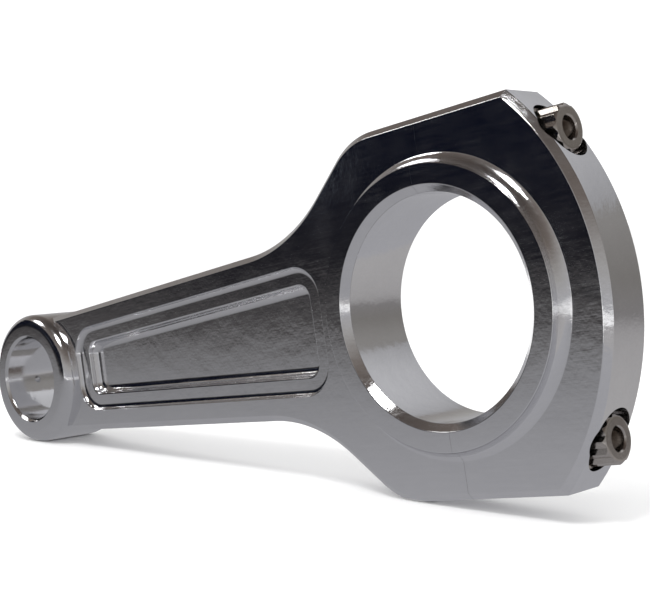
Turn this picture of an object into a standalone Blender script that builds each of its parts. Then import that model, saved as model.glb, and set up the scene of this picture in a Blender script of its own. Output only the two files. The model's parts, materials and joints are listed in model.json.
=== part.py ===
"""A two-piece aluminium connecting rod for a racing engine, standing the way it comes to rest on a bench."""

import math

import bmesh
import bpy
from mathutils import Matrix, Vector

MM = 0.001

# The rod's own frame: the crankpin axis is Y at x = 0, the cap lies toward +X and the piston pin toward -X.
CENTRE_DISTANCE = 184.15 * MM
PARTING_GAP = 0.3 * MM
FIT_GAP = 0.3 * MM

# Big end.
CRANK_BORE = 59.06 * MM
CRANK_BORE_CHAMFER = 2.0 * MM
THRUST_WIDTH = 25.2 * MM
THRUST_RING_WALL = 7.4 * MM
THRUST_RING_FILLET = 4.4 * MM
BODY_WIDTH = 16.8 * MM
BOLT_SPREAD = CRANK_BORE + 16.24 * MM
SIDE_FLATS = BOLT_SPREAD + 23.9 * MM
CAP_CROWN = 19.8 * MM
CROWN_RADIUS = 70.0 * MM
OUTLINE_CHAMFER = 1.8 * MM

# Shoulders and neck, where the big end narrows to the beam.
SHOULDER_REACH = 24.0 * MM
SHOULDER_SLOPE = math.radians(41.0)
SHOULDER_RADIUS = 21.0 * MM
NECK_RADIUS = 48.0 * MM

# Beam: its width across the rails at each end of the line that joins the two bores.
BEAM_WIDTH_AT_PIN = 38.7 * MM
BEAM_WIDTH_AT_CRANK = 54.7 * MM
RAIL = 7.0 * MM
POCKET_LAND = 1.4 * MM
POCKET_RADIUS = 9.0 * MM
POCKET_STEP_DEPTH = 2.4 * MM
POCKET_LEDGE = 5.6 * MM
POCKET_FLOOR_DEPTH = 3.2 * MM
POCKET_FILLET = 1.5 * MM

# Small end.
PIN_BORE = 28.8 * MM
PIN_BORE_CHAMFER = 0.8 * MM
PIN_BOSS_WALL = 7.9 * MM
PIN_BOSS_WIDTH = 26.0 * MM
PIN_BOSS_EDGE = 4.0 * MM
OIL_HOLE = 2.4 * MM

# Cap screws, 3/8-24 with twelve-point heads.
BOLT_DIAMETER = 9.525 * MM
BOLT_DEPTH_IN_ROD = 22.4 * MM
BOLT_POINT_CHAMFER = 1.2 * MM
BOLT_FLANGE = BOLT_DIAMETER + 4.075 * MM
BOLT_FLANGE_THICKNESS = 2.4 * MM
BOLT_HEAD_DIAMETER = BOLT_DIAMETER + 2.775 * MM
HEAD_POINTS = 12
BOLT_HEAD_HEIGHT = 8.8 * MM
BOLT_RECESS = 5.8 * MM
BOLT_RECESS_DEPTH = 5.0 * MM
SEAT_HEIGHT = 27.4 * MM
COUNTERBORE = BOLT_FLANGE + 1.0 * MM
WASHER_DIAMETER = BOLT_FLANGE + 0.3 * MM
WASHER_THICKNESS = 1.6 * MM
THREAD_RUNOUT = 1.6 * MM

# Hollow dowels round the screws at the parting face, and the dowel that stops the bearing shell turning.
SLEEVE_DIAMETER = BOLT_DIAMETER + 2.375 * MM
SLEEVE_LENGTH = 9.0 * MM
SLEEVE_CHAMFER = 0.25 * MM
SHELL_DOWEL = 4.0 * MM
SHELL_DOWEL_LENGTH = 9.0 * MM
SHELL_DOWEL_PROUD = 1.4 * MM
SHELL_DOWEL_CHAMFER = 0.5 * MM

ROUND_STEPS = 72
SMALL_STEPS = 36
OIL_HOLE_STEPS = 24
POCKET_FILLET_STEPS = 2
ARC_STEP = math.radians(7.5)
SHARP_EDGE = math.radians(30.0)
FILLET_STEP = math.radians(18.0)
OVERCUT = 5.0 * MM

CRANK_RADIUS = CRANK_BORE / 2
RING_RADIUS = CRANK_RADIUS + THRUST_RING_WALL
CROWN_CENTRE = CRANK_RADIUS + CAP_CROWN - CROWN_RADIUS
PIN_RADIUS = PIN_BORE / 2
BOSS_RADIUS = PIN_RADIUS + PIN_BOSS_WALL
BOLT_HOLE_RADIUS = BOLT_DIAMETER / 2 + FIT_GAP
FLAT_HALF = SIDE_FLATS / 2
BOLT_HEIGHTS = {"upper": BOLT_SPREAD / 2, "lower": -BOLT_SPREAD / 2}

# Turning a piece's own Z axis onto the rod's Y axis or X axis.
ALONG_Y = (math.radians(90), 0.0, 0.0)
ALONG_X = (0.0, math.radians(90), 0.0)


def clear_scene():
    for old in list(bpy.data.objects):
        bpy.data.objects.remove(old, do_unlink=True)


def new_collection(name):
    collection = bpy.data.collections.new(name)
    bpy.context.scene.collection.children.link(collection)
    return collection


def material(name, colour, roughness, metallic):
    made = bpy.data.materials.new(name)
    made.use_nodes = True
    shader = made.node_tree.nodes["Principled BSDF"]
    shader.inputs["Base Color"].default_value = (*colour, 1.0)
    shader.inputs["Roughness"].default_value = roughness
    shader.inputs["Metallic"].default_value = metallic
    made.diffuse_color = (*colour, 1.0)
    return made


def place(obj, collection, location, turn):
    """Puts a piece in the rod's frame, as a child of the stand that leans the whole rod."""
    collection.objects.link(obj)
    obj.parent = stand
    obj.location = location
    obj.rotation_euler = turn
    return obj


def finish(obj, surface):
    obj.data.materials.clear()
    obj.data.materials.append(surface)
    obj.data.set_sharp_from_angle(angle=SHARP_EDGE)


def cutter_settings(obj):
    obj.hide_render = True
    obj.display_type = "WIRE"


def arc(centre, radius, start, end, step):
    """Points along a circular arc, both ends included."""
    count = max(2, math.ceil(abs(end - start) / step))
    angles = [start + (end - start) * i / count for i in range(count + 1)]
    return [
        (centre[0] + radius * math.cos(a), centre[1] + radius * math.sin(a)) for a in angles
    ]


def rounded_corner(before, corner, after, radius):
    """The arc that rounds one corner of an outline, or the corner itself where the radius is nil."""
    if radius == 0.0:
        return [tuple(corner)]
    back = (before - corner).normalized()
    ahead = (after - corner).normalized()
    half_angle = back.angle(ahead) / 2
    centre = corner + (back + ahead).normalized() * radius / math.sin(half_angle)
    reach = radius / math.tan(half_angle)
    first = corner + back * reach - centre
    last = corner + ahead * reach - centre
    start = math.atan2(first.y, first.x)
    sweep = math.remainder(math.atan2(last.y, last.x) - start, math.tau)
    return arc(centre, radius, start, start + sweep, ARC_STEP)


def rounded_outline(corners):
    """A closed outline from corners given as (x, y, radius)."""
    points = [Vector(corner[:2]) for corner in corners]
    outline = []
    for i, corner in enumerate(corners):
        after = points[(i + 1) % len(points)]
        outline += rounded_corner(points[i - 1], points[i], after, corner[2])
    return outline


def plate(name, outline, thickness, edge, edge_steps, collection):
    """A flat piece in the rod's X-Z plane. Its rim is chamfered, or rounded where edge_steps is over nought."""
    curve = bpy.data.curves.new(name + "_outline", "CURVE")
    curve.dimensions = "2D"
    curve.fill_mode = "BOTH"
    curve.extrude = thickness / 2 - edge
    curve.bevel_depth = edge
    curve.bevel_resolution = edge_steps
    curve.offset = -edge
    spline = curve.splines.new("POLY")
    spline.points.add(len(outline) - 1)
    for point, (x, y) in zip(spline.points, outline):
        point.co = (x, y, 0.0, 1.0)
    spline.use_cyclic_u = True
    drawn = bpy.data.objects.new(name + "_outline", curve)
    bpy.context.scene.collection.objects.link(drawn)
    graph = bpy.context.evaluated_depsgraph_get()
    mesh = bpy.data.meshes.new_from_object(drawn.evaluated_get(graph))
    bpy.data.objects.remove(drawn)
    shape = bmesh.new()
    shape.from_mesh(mesh)
    bmesh.ops.remove_doubles(shape, verts=shape.verts, dist=1e-6)
    bmesh.ops.recalc_face_normals(shape, faces=shape.faces)
    shape.to_mesh(mesh)
    shape.free()
    mesh.name = name
    return place(bpy.data.objects.new(name, mesh), collection, (0.0, 0.0, 0.0), ALONG_Y)


def turned(name, profile, steps, collection, location, turn):
    """A turned piece: its profile is (radius, height) pairs that run down the outer side."""
    mesh = bpy.data.meshes.new(name)
    vertices = [(radius, 0.0, height) for radius, height in profile]
    edges = [(i, i + 1) for i in range(len(profile) - 1)]
    if profile[0][0] > 0.0:
        edges.append((len(profile) - 1, 0))
    mesh.from_pydata(vertices, edges, [])
    obj = place(bpy.data.objects.new(name, mesh), collection, location, turn)
    screw = obj.modifiers.new("Turn", "SCREW")
    screw.steps = steps
    screw.render_steps = steps
    screw.use_merge_vertices = True
    screw.merge_threshold = 1e-5
    return obj


def cylinder(name, radius, bottom, top, steps, location, turn):
    """A plain round cutter that runs from bottom to top along its own axis."""
    profile = [(0.0, top), (radius, top), (radius, bottom), (0.0, bottom)]
    return turned(name, profile, steps, cutters, location, turn)


def half_space(name, low, high):
    """A box that takes away everything between two planes across the rod's length."""
    width = 2 * SIDE_FLATS
    bpy.ops.mesh.primitive_cube_add(size=1.0)
    box = bpy.context.object
    box.name = name
    box.data.transform(Matrix.Diagonal((high - low, width, width, 1.0)))
    box.users_collection[0].objects.unlink(box)
    return place(box, cutters, ((low + high) / 2, 0.0, 0.0), (0.0, 0.0, 0.0))


def join(obj, other, operation):
    modifier = obj.modifiers.new(f"{operation.title()} {other.name}", "BOOLEAN")
    modifier.operation = operation
    modifier.solver = "EXACT"
    modifier.object = other


def mirrored(half):
    """The whole profile of a piece that is the same on both sides of its middle plane."""
    return half + [(radius, -height) for radius, height in reversed(half)]


def beam_half_width(x):
    """Half the width across the rails at a place along the rod."""
    share = -x / CENTRE_DISTANCE
    width = BEAM_WIDTH_AT_CRANK + (BEAM_WIDTH_AT_PIN - BEAM_WIDTH_AT_CRANK) * share
    return width / 2


def neck_corner():
    """Where the line of the beam's edge meets the slope of the shoulder."""
    taper = (BEAM_WIDTH_AT_CRANK - BEAM_WIDTH_AT_PIN) / 2 / CENTRE_DISTANCE
    slope = math.tan(SHOULDER_SLOPE)
    rise = FLAT_HALF + slope * SHOULDER_REACH - BEAM_WIDTH_AT_CRANK / 2
    x = rise / (taper - slope)
    return x, beam_half_width(x)


def rod_outline():
    """The outline of rod and cap together, as they are machined before the cap is parted off."""
    crown_end = math.asin(FLAT_HALF / CROWN_RADIUS)
    neck_x, neck_z = neck_corner()
    pin_end = -CENTRE_DISTANCE
    end_half = beam_half_width(pin_end)
    upper = [
        (pin_end, end_half, 0.0),
        (neck_x, neck_z, NECK_RADIUS),
        (-SHOULDER_REACH, FLAT_HALF, SHOULDER_RADIUS),
    ]
    crown = arc((CROWN_CENTRE, 0.0), CROWN_RADIUS, crown_end, -crown_end, ARC_STEP / 2)
    lower = [(x, -z, radius) for x, z, radius in reversed(upper)]
    return rounded_outline(upper + [(x, z, 0.0) for x, z in crown] + lower)


def pocket_outline(inset):
    """The beam's pocket, or the ledge inside it when inset is over nought."""
    low = -CENTRE_DISTANCE + BOSS_RADIUS + POCKET_LAND + inset
    high = -(RING_RADIUS + THRUST_RING_FILLET + POCKET_LAND + inset)
    low_half = beam_half_width(low) - RAIL - inset
    high_half = beam_half_width(high) - RAIL - inset
    radius = POCKET_RADIUS - inset / 2
    return rounded_outline(
        [
            (low, low_half, radius),
            (high, high_half, radius),
            (high, -high_half, radius),
            (low, -low_half, radius),
        ]
    )


def thrust_ring():
    """The raised faces round the crank bore, with the fillet that runs down to the body."""
    face = THRUST_WIDTH / 2
    centre = (RING_RADIUS + THRUST_RING_FILLET, face)
    fillet = arc(centre, THRUST_RING_FILLET, math.pi, 1.5 * math.pi, FILLET_STEP)
    half = [(0.0, face)] + fillet
    return turned("thrust_ring", mirrored(half), ROUND_STEPS, cutters, (0, 0, 0), ALONG_Y)


def pin_boss():
    """The round boss of the small end, with its broad rounded edges."""
    face = PIN_BOSS_WIDTH / 2
    centre = (BOSS_RADIUS - PIN_BOSS_EDGE, face - PIN_BOSS_EDGE)
    edge = arc(centre, PIN_BOSS_EDGE, math.pi / 2, 0.0, FILLET_STEP)
    half = [(0.0, face)] + edge
    location = (-CENTRE_DISTANCE, 0.0, 0.0)
    return turned("pin_boss", mirrored(half), ROUND_STEPS, cutters, location, ALONG_Y)


def bore_cutter(name, radius, width, chamfer, location):
    """Cuts a bore and the chamfer at each of its mouths."""
    face = width / 2
    half = [
        (0.0, face + OVERCUT),
        (radius + chamfer + OVERCUT, face + OVERCUT),
        (radius, face - chamfer),
    ]
    return turned(name, mirrored(half), ROUND_STEPS, cutters, location, ALONG_Y)


def pocket_cutters():
    """Two steps of pocket, let into both faces of the beam."""
    made = []
    face = BODY_WIDTH / 2
    depths = [
        ("ledge", 0.0, POCKET_STEP_DEPTH),
        ("floor", POCKET_LEDGE, POCKET_STEP_DEPTH + POCKET_FLOOR_DEPTH),
    ]
    for side, direction in (("front", -1), ("back", 1)):
        for step, inset, depth in depths:
            name = f"pocket_{step}_{side}"
            thickness = 2 * depth
            outline = pocket_outline(inset)
            tool = plate(name, outline, thickness, POCKET_FILLET, POCKET_FILLET_STEPS, cutters)
            tool.location.y = direction * face
            made.append(tool)
    return made


def screw_cutter(label, height):
    """One stepped cutter for a screw: counterbore, hole through cap and rod, and the sleeve's recess."""
    bottom = -(BOLT_DEPTH_IN_ROD + THREAD_RUNOUT)
    top = CRANK_RADIUS + CAP_CROWN + OVERCUT
    recess_radius = SLEEVE_DIAMETER / 2 + FIT_GAP
    recess_half = SLEEVE_LENGTH / 2 + FIT_GAP
    profile = [
        (0.0, top),
        (COUNTERBORE / 2, top),
        (COUNTERBORE / 2, SEAT_HEIGHT),
        (BOLT_HOLE_RADIUS, SEAT_HEIGHT),
        (BOLT_HOLE_RADIUS, recess_half),
        (recess_radius, recess_half),
        (recess_radius, -recess_half),
        (BOLT_HOLE_RADIUS, -recess_half),
        (BOLT_HOLE_RADIUS, bottom),
        (0.0, bottom),
    ]
    name = f"screw_hole_{label}"
    return turned(name, profile, SMALL_STEPS, cutters, (0.0, 0.0, height), ALONG_X)


def machined_half(name, surface, away, tools):
    """Rod body or cap: the machined whole with the other half taken away, then its holes cut."""
    obj = plate(name, rod_outline(), BODY_WIDTH, OUTLINE_CHAMFER, 0, parts)
    join(obj, thrust_ring_solid, "UNION")
    join(obj, away, "DIFFERENCE")
    for tool in tools:
        join(obj, tool, "DIFFERENCE")
    finish(obj, surface)
    return obj


def bolt(label, height, surface):
    """A twelve-point cap screw. Its origin lies on its axis, on the face that clamps the washer."""
    radius = BOLT_DIAMETER / 2
    seat = SEAT_HEIGHT + WASHER_THICKNESS + 2 * FIT_GAP
    length = seat + BOLT_DEPTH_IN_ROD
    head_top = BOLT_FLANGE_THICKNESS + BOLT_HEAD_HEIGHT
    points_radius = BOLT_HEAD_DIAMETER / 2
    flange_radius = BOLT_FLANGE / 2
    profile = [
        (0.0, BOLT_FLANGE_THICKNESS),
        (flange_radius - BOLT_FLANGE_THICKNESS / 2, BOLT_FLANGE_THICKNESS),
        (flange_radius, BOLT_FLANGE_THICKNESS / 2),
        (flange_radius, 0.0),
        (radius, 0.0),
        (radius, -length + BOLT_POINT_CHAMFER),
        (radius - BOLT_POINT_CHAMFER, -length),
        (0.0, -length),
    ]
    location = (seat, 0.0, height)
    name = f"bolt_{label}"
    obj = turned(name, profile, SMALL_STEPS, parts, location, ALONG_X)
    root = BOLT_FLANGE_THICKNESS / 2
    valley_radius = points_radius * math.cos(math.pi / 6) / math.cos(math.pi / HEAD_POINTS)
    shape = bmesh.new()
    outline = []
    for corner in range(2 * HEAD_POINTS):
        reach = valley_radius if corner % 2 else points_radius
        angle = math.pi * corner / HEAD_POINTS
        outline.append(shape.verts.new((reach * math.cos(angle), reach * math.sin(angle), root)))
    base = shape.faces.new(outline)
    raised = bmesh.ops.extrude_face_region(shape, geom=[base])
    top = [item for item in raised["geom"] if isinstance(item, bmesh.types.BMVert)]
    bmesh.ops.translate(shape, verts=top, vec=(0.0, 0.0, head_top - root))
    bmesh.ops.recalc_face_normals(shape, faces=shape.faces)
    mesh = bpy.data.meshes.new(f"twelve_points_{label}")
    shape.to_mesh(mesh)
    shape.free()
    head = place(bpy.data.objects.new(mesh.name, mesh), cutters, location, ALONG_X)
    join(obj, head, "UNION")
    recess = cylinder(
        f"recess_{label}",
        BOLT_RECESS / 2,
        head_top - BOLT_RECESS_DEPTH,
        head_top + OVERCUT,
        SMALL_STEPS,
        location,
        ALONG_X,
    )
    join(obj, recess, "DIFFERENCE")
    finish(obj, surface)
    return obj


def collar(name, outer, inner, bottom, top, chamfer, height, surface):
    """A plain turned ring on a screw's axis, with its outer corners broken."""
    profile = [
        (inner, top),
        (outer - chamfer, top),
        (outer, top - chamfer),
        (outer, bottom + chamfer),
        (outer - chamfer, bottom),
        (inner, bottom),
    ]
    location = (0.0, 0.0, height)
    obj = turned(name, profile, SMALL_STEPS, parts, location, ALONG_X)
    finish(obj, surface)
    return obj


def shell_dowel(surface):
    """The pin in the cap's bore that stops the bearing shell from turning."""
    radius = SHELL_DOWEL / 2
    inner = CRANK_RADIUS - SHELL_DOWEL_PROUD
    profile = [
        (0.0, SHELL_DOWEL_LENGTH),
        (radius, SHELL_DOWEL_LENGTH),
        (radius, SHELL_DOWEL_CHAMFER),
        (radius - SHELL_DOWEL_CHAMFER, 0.0),
        (0.0, 0.0),
    ]
    obj = turned("shell_dowel", profile, SMALL_STEPS, parts, (inner, 0.0, 0.0), ALONG_X)
    finish(obj, surface)
    return obj


def lean_angle():
    """How far the rod's axis tips when its small end and its lower shoulder both touch the bench."""
    shoulder_x = -SHOULDER_REACH + SHOULDER_RADIUS * math.tan(SHOULDER_SLOPE / 2)
    run = CENTRE_DISTANCE + shoulder_x
    drop = FLAT_HALF - SHOULDER_RADIUS
    line = math.atan2(drop, run)
    return line - math.asin((BOSS_RADIUS - SHOULDER_RADIUS) / math.hypot(run, drop))


def stand_on_bench():
    """Leans the rod, then brings the middle of its footprint to the origin."""
    stand.rotation_euler = (0.0, -lean_angle(), 0.0)
    bpy.context.view_layer.update()
    graph = bpy.context.evaluated_depsgraph_get()
    corners = []
    for obj in parts.objects:
        if obj is stand:
            continue
        solid = obj.evaluated_get(graph)
        corners += [solid.matrix_world @ vertex.co for vertex in solid.data.vertices]
    low_x = min(corner.x for corner in corners)
    high_x = max(corner.x for corner in corners)
    low_z = min(corner.z for corner in corners)
    stand.location = (-(low_x + high_x) / 2, 0.0, -low_z)


clear_scene()
parts = new_collection("connecting_rod")
cutters = new_collection("cutters")
stand = bpy.data.objects.new("stand", None)
parts.objects.link(stand)

aluminium = material("polished_aluminium", (0.80, 0.80, 0.82), 0.18, 1.0)
bolt_steel = material("bolt_steel", (0.30, 0.29, 0.28), 0.25, 1.0)
washer_steel = material("washer_steel", (0.42, 0.41, 0.40), 0.35, 1.0)
dowel_steel = material("ground_dowel_steel", (0.62, 0.62, 0.63), 0.22, 1.0)

thrust_ring_solid = thrust_ring()
crank_bore = bore_cutter("crank_bore", CRANK_RADIUS, THRUST_WIDTH, CRANK_BORE_CHAMFER, (0, 0, 0))
pin_centre = (-CENTRE_DISTANCE, 0.0, 0.0)
pin_bore = bore_cutter("pin_bore", PIN_RADIUS, PIN_BOSS_WIDTH, PIN_BORE_CHAMFER, pin_centre)
oil_hole = cylinder(
    "oil_hole",
    OIL_HOLE / 2,
    -BOSS_RADIUS - OVERCUT,
    -PIN_RADIUS / 2,
    OIL_HOLE_STEPS,
    pin_centre,
    ALONG_X,
)
screw_tools = [screw_cutter(side, bolt_height) for side, bolt_height in BOLT_HEIGHTS.items()]
dowel_hole = cylinder(
    "dowel_hole",
    SHELL_DOWEL / 2 + FIT_GAP,
    0.0,
    CRANK_RADIUS - SHELL_DOWEL_PROUD + SHELL_DOWEL_LENGTH + FIT_GAP,
    SMALL_STEPS,
    (0.0, 0.0, 0.0),
    ALONG_X,
)
rod_side = half_space("rod_side", -2 * CENTRE_DISTANCE, PARTING_GAP / 2)
cap_side = half_space("cap_side", -PARTING_GAP / 2, 2 * CENTRE_DISTANCE)

rod_body = machined_half("rod_body", aluminium, cap_side, pocket_cutters())
join(rod_body, pin_boss(), "UNION")
for tool in [crank_bore, pin_bore, oil_hole, *screw_tools]:
    join(rod_body, tool, "DIFFERENCE")
cap = machined_half("cap", aluminium, rod_side, [crank_bore, *screw_tools, dowel_hole])

for side, bolt_height in BOLT_HEIGHTS.items():
    bolt(side, bolt_height, bolt_steel)
    washer_bottom = SEAT_HEIGHT + FIT_GAP
    collar(
        f"washer_{side}",
        WASHER_DIAMETER / 2,
        BOLT_HOLE_RADIUS,
        washer_bottom,
        washer_bottom + WASHER_THICKNESS,
        WASHER_THICKNESS / 5,
        bolt_height,
        washer_steel,
    )
    collar(
        f"sleeve_{side}",
        SLEEVE_DIAMETER / 2,
        BOLT_HOLE_RADIUS,
        -SLEEVE_LENGTH / 2,
        SLEEVE_LENGTH / 2,
        SLEEVE_CHAMFER,
        bolt_height,
        dowel_steel,
    )
shell_dowel(dowel_steel)

for helper in cutters.objects:
    cutter_settings(helper)
stand_on_bench()
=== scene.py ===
"""The looks of a two-piece racing connecting rod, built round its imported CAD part."""

import json
import math

import bmesh
import bpy
from mathutils import Matrix, Vector


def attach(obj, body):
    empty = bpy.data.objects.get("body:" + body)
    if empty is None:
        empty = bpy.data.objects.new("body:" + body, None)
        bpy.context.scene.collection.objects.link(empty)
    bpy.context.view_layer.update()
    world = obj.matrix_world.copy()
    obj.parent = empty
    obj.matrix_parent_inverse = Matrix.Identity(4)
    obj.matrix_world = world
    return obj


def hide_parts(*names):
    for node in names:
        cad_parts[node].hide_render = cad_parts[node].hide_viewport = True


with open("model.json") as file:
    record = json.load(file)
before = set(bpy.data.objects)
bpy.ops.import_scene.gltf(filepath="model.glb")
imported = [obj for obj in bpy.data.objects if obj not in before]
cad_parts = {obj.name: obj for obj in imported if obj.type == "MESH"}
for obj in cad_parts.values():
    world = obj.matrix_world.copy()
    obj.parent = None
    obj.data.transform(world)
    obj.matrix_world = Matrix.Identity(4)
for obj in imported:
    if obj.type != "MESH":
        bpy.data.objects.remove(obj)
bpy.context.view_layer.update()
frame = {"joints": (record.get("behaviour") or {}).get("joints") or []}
MM = 0.001


# ---------------------------------------------------------------- bench
# A bench top of painted board, which the rod leans on with its big end and its pin boss. The
# camera has a short tele lens and stands at about the rod's own height.
BENCH_REACH = 6.0
floor_mesh = bpy.data.meshes.new("bench")
bench = bmesh.new()
bmesh.ops.create_grid(bench, x_segments=1, y_segments=1, size=BENCH_REACH)
bench.to_mesh(floor_mesh)
bench.free()
floor = bpy.data.objects.new("bench", floor_mesh)
bpy.context.scene.collection.objects.link(floor)

bench_paint = bpy.data.materials.new("bench_paint")
bench_paint.use_nodes = True
bench_shader = bench_paint.node_tree.nodes["Principled BSDF"]
bench_shader.inputs["Base Color"].default_value = (0.94, 0.94, 0.94, 1.0)
bench_shader.inputs["Roughness"].default_value = 0.75
floor_mesh.materials.append(bench_paint)

lens = bpy.data.cameras.new("camera")
lens.lens = 72.1
lens.sensor_width = 36.0
camera = bpy.data.objects.new("camera", lens)
camera.location = (0.2861, -0.2678, 0.0749)
camera.rotation_euler = [math.radians(turn) for turn in (86.49, 1.66, 43.82)]
bpy.context.scene.collection.objects.link(camera)
bpy.context.scene.camera = camera


# ---------------------------------------------------------------- studio light
# A white room with soft boxes above, and glowing boards that only the polished faces see: their colours
# are painted reflections.
# In those mirrored faces the room is painted darker overhead than it is to the lens: a painted
# reflection.
def shade_ramp(nodes, shades):
    """A colour ramp through (height, colour) stops."""
    ramp = nodes.new("ShaderNodeValToRGB")
    while len(ramp.color_ramp.elements) < len(shades):
        ramp.color_ramp.elements.new(0.5)
    for stop, (height, shade) in zip(ramp.color_ramp.elements, shades):
        stop.position = height
        stop.color = (*shade, 1.0)
    return ramp


room = bpy.data.worlds.new("white_room")
room.use_nodes = True
room_nodes = room.node_tree.nodes
room_nodes["Background"].inputs["Color"].default_value = (1.0, 1.0, 1.0, 1.0)
room_nodes["Background"].inputs["Strength"].default_value = 1.22
# Painted reflection: only glossy rays see this room, painted darker towards the top.
mirrored_wall = room_nodes.new("ShaderNodeBackground")
direction = room_nodes.new("ShaderNodeTexCoord")
direction_parts = room_nodes.new("ShaderNodeSeparateXYZ")
wall_shade = shade_ramp(
    room_nodes,
    [
        (0.0, (0.44, 0.44, 0.46)),
        (0.25, (0.38, 0.37, 0.36)),
        (0.6, (0.16, 0.135, 0.12)),
        (1.0, (0.05, 0.04, 0.035)),
    ],
)
room.node_tree.links.new(direction.outputs["Generated"], direction_parts.inputs["Vector"])
room.node_tree.links.new(direction_parts.outputs["Z"], wall_shade.inputs["Fac"])
room.node_tree.links.new(wall_shade.outputs["Color"], mirrored_wall.inputs["Color"])
ray = room_nodes.new("ShaderNodeLightPath")
either = room_nodes.new("ShaderNodeMixShader")
room.node_tree.links.new(ray.outputs["Is Glossy Ray"], either.inputs["Fac"])
room.node_tree.links.new(room_nodes["Background"].outputs["Background"], either.inputs[1])
room.node_tree.links.new(mirrored_wall.outputs["Background"], either.inputs[2])
room.node_tree.links.new(either.outputs["Shader"], room_nodes["World Output"].inputs["Surface"])
bpy.context.scene.world = room
bpy.context.scene.view_settings.view_transform = "Standard"


def soft_box(name, place, aim, size, power):
    """A square area lamp that faces the point it is aimed at."""
    lamp = bpy.data.lights.new(name, "AREA")
    lamp.size = size
    lamp.energy = power
    box = bpy.data.objects.new(name, lamp)
    box.location = place
    box.rotation_euler = (Vector(aim) - Vector(place)).to_track_quat("-Z", "Y").to_euler()
    bpy.context.scene.collection.objects.link(box)


soft_box("overhead_box", (0.15, -0.45, 0.85), (0.05, 0.0, 0.05), 0.24, 3.2)
soft_box("left_box", (-0.68, -0.40, 0.72), (0.0, 0.0, 0.05), 0.26, 1.0)


def board(name, corner, across, up, shades):
    """A glowing board seen only in reflections, from one corner, its width and its rise; its painted
    reflection shades up its height by (height, colour) stops.
    """
    mesh = bpy.data.meshes.new(name)
    shape = bmesh.new()
    bmesh.ops.create_grid(shape, x_segments=1, y_segments=1, size=0.5)
    bmesh.ops.translate(shape, verts=shape.verts, vec=(0.5, 0.5, 0.0))
    shape.to_mesh(mesh)
    shape.free()
    piece = bpy.data.objects.new(name, mesh)
    right = Vector(across)
    rise = Vector(up)
    axes = Matrix((right, rise, right.cross(rise).normalized())).transposed()
    piece.matrix_world = Matrix.Translation(corner) @ axes.to_4x4()
    piece.visible_camera = False
    piece.visible_diffuse = False
    piece.visible_shadow = False
    bpy.context.scene.collection.objects.link(piece)
    reflection_glow = bpy.data.materials.new(name)
    reflection_glow.use_nodes = True
    nodes = reflection_glow.node_tree.nodes
    nodes.remove(nodes["Principled BSDF"])
    glow = nodes.new("ShaderNodeEmission")
    place = nodes.new("ShaderNodeTexCoord")
    parts = nodes.new("ShaderNodeSeparateXYZ")
    ramp = shade_ramp(nodes, shades)
    links = reflection_glow.node_tree.links
    links.new(place.outputs["Object"], parts.inputs["Vector"])
    links.new(parts.outputs["Y"], ramp.inputs["Fac"])
    links.new(ramp.outputs["Color"], glow.inputs["Color"])
    links.new(glow.outputs["Emission"], nodes["Material Output"].inputs["Surface"])
    mesh.materials.append(reflection_glow)


# These boards glow and show only in reflections: their colours are painted reflections and painted dark
# shade on the polished faces.
NAVY = (0.002, 0.003, 0.009)
board(
    "dark_board_left",
    (-0.62, -0.06, 0.0),
    (0.60, -0.58, 0.0),
    (0.0, 0.0, 0.3),
    [(0.0, (0.085, 0.08, 0.08)), (0.16, (0.010, 0.010, 0.013)), (0.4, NAVY), (1.0, NAVY)],
)
board(
    "dim_window_left",
    (-0.34, -0.30, 0.085),
    (0.052, -0.050, 0.0),
    (0.0, 0.0, 0.05),
    [(0.0, (0.010, 0.012, 0.018)), (0.5, (0.055, 0.060, 0.072)), (1.0, (0.010, 0.012, 0.018))],
)
board(
    "grey_sheet_left",
    (-0.62, -0.06, 0.0005),
    (0.60, -0.58, 0.0),
    (0.42, 0.43, 0.0),
    [(0.0, (0.13, 0.125, 0.125)), (0.5, (0.27, 0.27, 0.28)), (1.0, (0.40, 0.40, 0.42))],
)
board(
    "taupe_board_right",
    (0.35, 1.05, 0.0),
    (0.9, -0.75, 0.0),
    (0.0, 0.0, 0.8),
    [(0.0, (0.22, 0.21, 0.21)), (0.2, (0.20, 0.19, 0.18)), (0.5, (0.26, 0.25, 0.24))],
)
board(
    "pale_panel_left",
    (-0.62, -0.75, 0.50),
    (0.10, 0.36, 0.0),
    (-0.10, 0.03, 0.22),
    [(0.0, (0.30, 0.30, 0.31)), (0.5, (0.55, 0.54, 0.52)), (1.0, (0.25, 0.23, 0.22))],
)
board(
    "pale_panel_back",
    (-0.40, 0.75, 0.42),
    (0.95, 0.0, 0.0),
    (0.0, -0.3, 0.6),
    [(0.0, (0.34, 0.34, 0.35)), (0.5, (0.62, 0.62, 0.64)), (1.0, (0.34, 0.34, 0.35))],
)
board(
    "grey_sheet_right",
    (0.35, 1.05, 0.0005),
    (0.9, -0.75, 0.0),
    (-0.75, -0.9, 0.0),
    [(0.0, (0.22, 0.21, 0.21)), (0.4, (0.34, 0.33, 0.33)), (1.0, (0.48, 0.47, 0.47))],
)


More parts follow.
